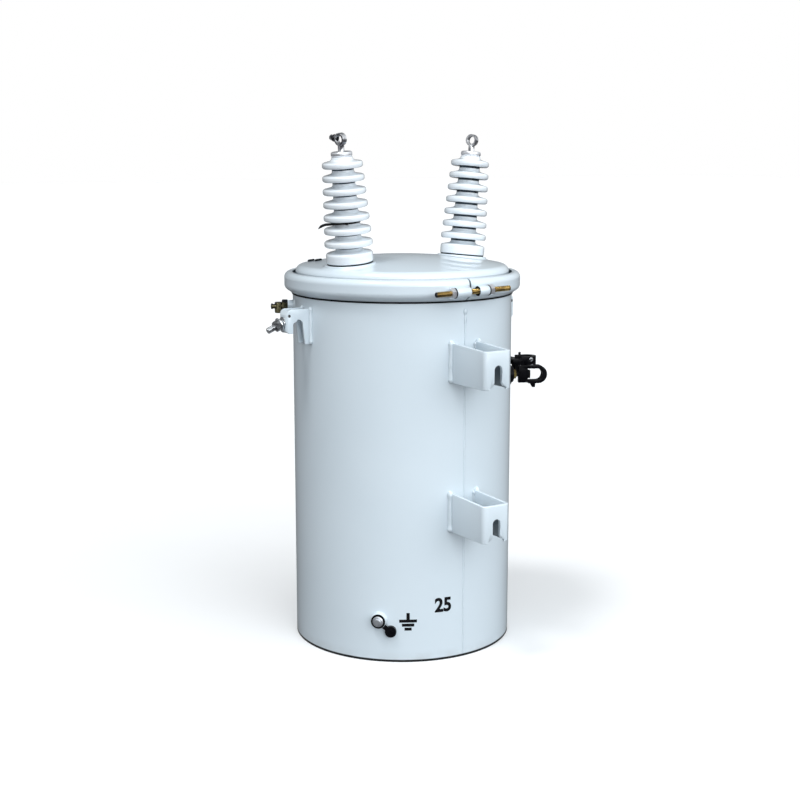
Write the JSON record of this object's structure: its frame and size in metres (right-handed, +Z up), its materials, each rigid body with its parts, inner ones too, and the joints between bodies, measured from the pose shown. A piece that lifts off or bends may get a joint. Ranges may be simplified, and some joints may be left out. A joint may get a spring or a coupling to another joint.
{
  "type": "pole mounted transformer",
  "caption": "Round oil filled distribution transformer tank with clamped cover, ribbed porcelain bushings, pole hanger brackets, lifting lugs and side terminals.",
  "frame": {"origin": "centre of the tank's lower edge, on the level it stands on", "axes": "+Z up along the tank's axis; -Y out through the pole hangers"},
  "size_m": [0.5966, 0.5527, 0.9962],
  "materials": {
    "tank_paint": "glossy pale sky grey enamel on steel",
    "porcelain": "white glazed porcelain",
    "gasket": "black nitrile rubber",
    "tinned_bronze": "dull tin plated bronze",
    "bronze": "yellow passivated threaded rod",
    "zinc_steel": "bright zinc plated steel",
    "black_insulator": "black moulded epoxy",
    "black_terminal": "dark bronze casting",
    "valve_brass": "dull machined brass",
    "tie_nylon": "black nylon"
  },
  "bodies": {
    "root": {"band_nut_left": "zinc_steel", "band_nut_right": "zinc_steel", "band_rod": "bronze", "band_sleeve_left": "tank_paint", "band_sleeve_right": "tank_paint", "bushing_gasket_left": "gasket", "bushing_gasket_right": "gasket", "bushing_left": "porcelain", "bushing_right": "porcelain", "bushing_screw_left": "tinned_bronze", "bushing_terminal_left": "tinned_bronze", "bushing_terminal_right": "tinned_bronze", "bushing_tie": "tie_nylon", "cover": "tank_paint", "cover_band": "tank_paint", "cover_gasket": "gasket", "drain_plug": "black_insulator", "ground_bolt": "zinc_steel", "ground_boss": "tank_paint", "hanger_lower": "tank_paint", "hanger_upper": "tank_paint", "lifting_lug_left": "tank_paint", "lifting_lug_right": "tank_paint", "low_eye_front": "black_terminal", "low_eye_middle": "black_terminal", "low_eye_rear": "black_terminal", "low_insulator_front": "black_insulator", "low_insulator_middle": "black_insulator", "low_insulator_rear": "black_insulator", "low_nut_front": "valve_brass", "low_nut_middle": "valve_brass", "low_nut_rear": "valve_brass", "lug_bolt": "zinc_steel", "lug_nut": "zinc_steel", "lug_washers": "zinc_steel", "relief_boss": "tank_paint", "relief_ring": "valve_brass", "relief_valve": "valve_brass", "tank_floor": "tank_paint", "tank_seam": "tank_paint", "tank_shell": "tank_paint"}
  },
  "joints": []
}
